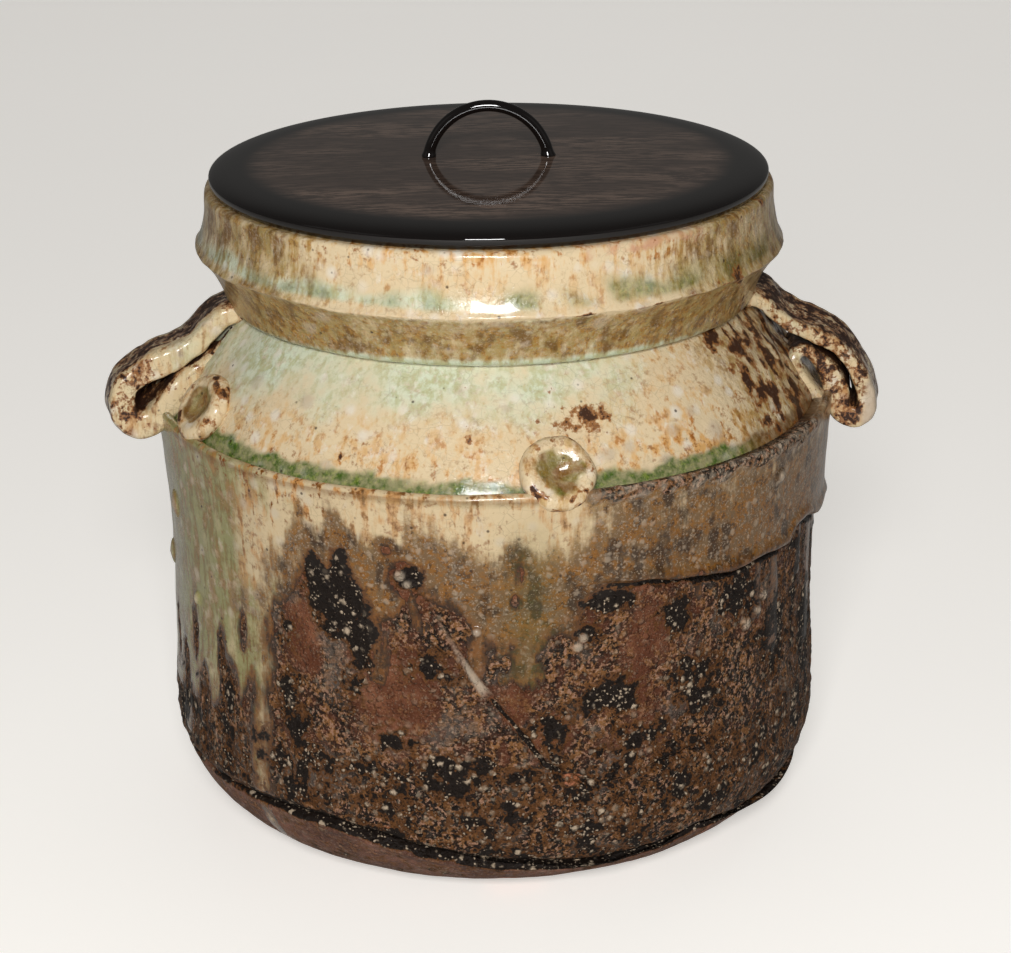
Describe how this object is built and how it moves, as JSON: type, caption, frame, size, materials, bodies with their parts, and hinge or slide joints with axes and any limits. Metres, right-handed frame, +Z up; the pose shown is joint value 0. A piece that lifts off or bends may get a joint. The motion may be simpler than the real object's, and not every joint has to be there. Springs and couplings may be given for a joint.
{
  "type": "lidded water jar",
  "caption": "Stout hand-built stoneware water jar with a folded collar, strap ears, clay pellets and a flat black lacquered lid with an arched handle that lifts off.",
  "frame": {"origin": "middle of the flat base, on the surface the jar stands on", "axes": "+Z up along the jar's axis, X through the two ears with +X at the right ear, -Y towards the viewer in front"},
  "size_m": [0.226, 0.2001, 0.2114],
  "materials": {
    "raw_clay": "coarse unglazed stoneware, reddish brown with dark ash crust",
    "wall_glaze": "runny natural ash glaze over scorched purple-brown clay",
    "pale_glaze": "crackled cream and pale green ash glaze, glossy",
    "ear_glaze": "thin glossy brown glaze with cream edges",
    "lacquer": "glossy black lacquer over turned wood"
  },
  "bodies": {
    "jar": {"base_slab": "raw_clay", "wall": "wall_glaze", "shoulder": "pale_glaze", "collar": "pale_glaze", "left_ear": "ear_glaze", "right_ear": "ear_glaze", "front_pellet": "pale_glaze", "left_pellet": "pale_glaze"},
    "lid": {"lid_board": "lacquer", "lid_handle": "lacquer"}
  },
  "joints": [
    {"name": "lid_lift", "type": "slide", "parent": "jar", "child": "lid", "axis": [0, 0, 1], "range_m": [0, 0.12]}
  ]
}
